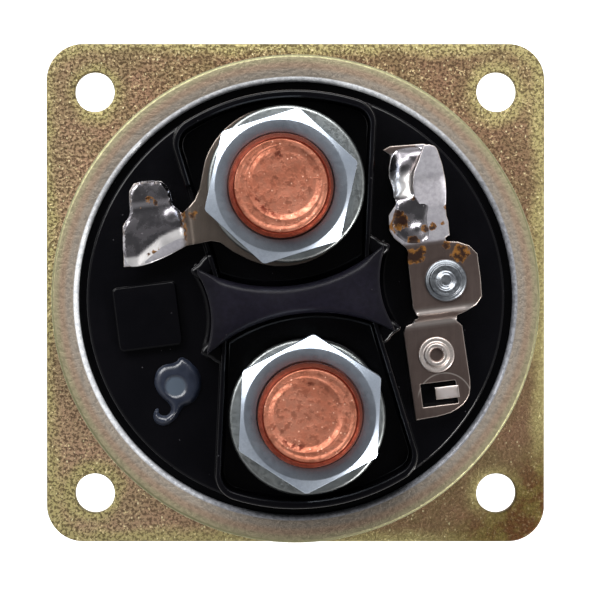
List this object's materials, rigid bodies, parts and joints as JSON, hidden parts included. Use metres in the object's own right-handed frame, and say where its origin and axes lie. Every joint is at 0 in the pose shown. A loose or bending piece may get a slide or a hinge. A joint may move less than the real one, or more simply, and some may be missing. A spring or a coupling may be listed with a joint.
{
  "type": "starter relay",
  "caption": "Starter relay: a steel can on a square bolt-down flange, a forked plunger that draws in, and a black cap with copper stud terminals and a riveted signal strip.",
  "frame": {"origin": "centre of the flange's mounting face, on the can's axis", "axes": "+Z along the can's axis towards the terminals, X and Y along the sides of the square flange"},
  "size_m": [0.063, 0.063, 0.0893],
  "materials": {
    "zinc_yellow": "yellow-passivated zinc plate",
    "can_steel": "satin plated steel",
    "phenolic": "glossy black moulding",
    "zinc_plate": "bright zinc plate",
    "copper": "cold-headed copper",
    "tinned_brass": "tinned sheet",
    "solder": "bright solder",
    "enamelled_copper": "enamelled copper wire",
    "nylon": "natural nylon",
    "coil_paper": "dark insulating wrap",
    "soft_iron": "machined, plated iron",
    "guide_brass": "drawn brass tube",
    "rubber": "gasket rubber",
    "sleeving": "varnished sleeving",
    "spring_steel": "spring wire",
    "fibre": "laminated insulation",
    "resin": "cured sealing resin"
  },
  "bodies": {
    "housing": {"flange_plate": "zinc_yellow", "can_shell": "can_steel", "guide_tube": "guide_brass", "bobbin": "nylon", "pull_in_winding": "enamelled_copper", "hold_in_winding": "enamelled_copper", "coil_wrap": "coil_paper", "core_plate": "soft_iron", "fixed_core": "soft_iron", "ground_lead": "enamelled_copper", "cap_gasket": "rubber", "terminal_cap": "phenolic", "lead_sleeves": "sleeving", "motor_lead": "enamelled_copper", "signal_leads": "enamelled_copper", "motor_stud": "copper", "battery_stud": "copper", "motor_lug": "tinned_brass", "motor_washer": "zinc_plate", "battery_washer": "zinc_plate", "motor_nut": "zinc_plate", "battery_nut": "zinc_plate", "motor_solder": "solder", "signal_strip": "tinned_brass", "signal_solder": "solder", "signal_rivet": "zinc_plate", "eyelet_rivet": "zinc_plate", "sealant_plug": "resin", "return_spring": "spring_steel", "rod_return_spring": "spring_steel"},
    "plunger": {"plunger": "soft_iron"},
    "rod": {"contact_rod": "soft_iron", "rod_seat_washer": "zinc_plate", "rod_clip": "spring_steel", "contact_spring": "spring_steel"},
    "disc": {"contact_disc": "copper", "disc_bush": "fibre", "disc_insulator": "fibre"}
  },
  "joints": [
    {"name": "plunger_slide", "type": "slide", "parent": "housing", "child": "plunger", "axis": [0, 0, 1], "range_m": [0, 0.011], "stiffness_N_per_m": 1200, "springref_m": -0.01, "deforming": ["return_spring"]},
    {"name": "rod_slide", "type": "slide", "parent": "housing", "child": "rod", "axis": [0, 0, 1], "range_m": [0, 0.0034], "stiffness_N_per_m": 600, "springref_m": -0.004, "deforming": ["rod_return_spring"]},
    {"name": "disc_slide", "type": "slide", "parent": "rod", "child": "disc", "axis": [0, 0, 1], "range_m": [-0.00105, 0], "stiffness_N_per_m": 2000, "springref_m": 0.006, "deforming": ["contact_spring"]}
  ],
  "couplings": [
    {"joint": "rod_slide", "follows": "plunger_slide", "ratio": 0.309},
    {"joint": "disc_slide", "follows": "plunger_slide", "ratio": -0.0954}
  ]
}
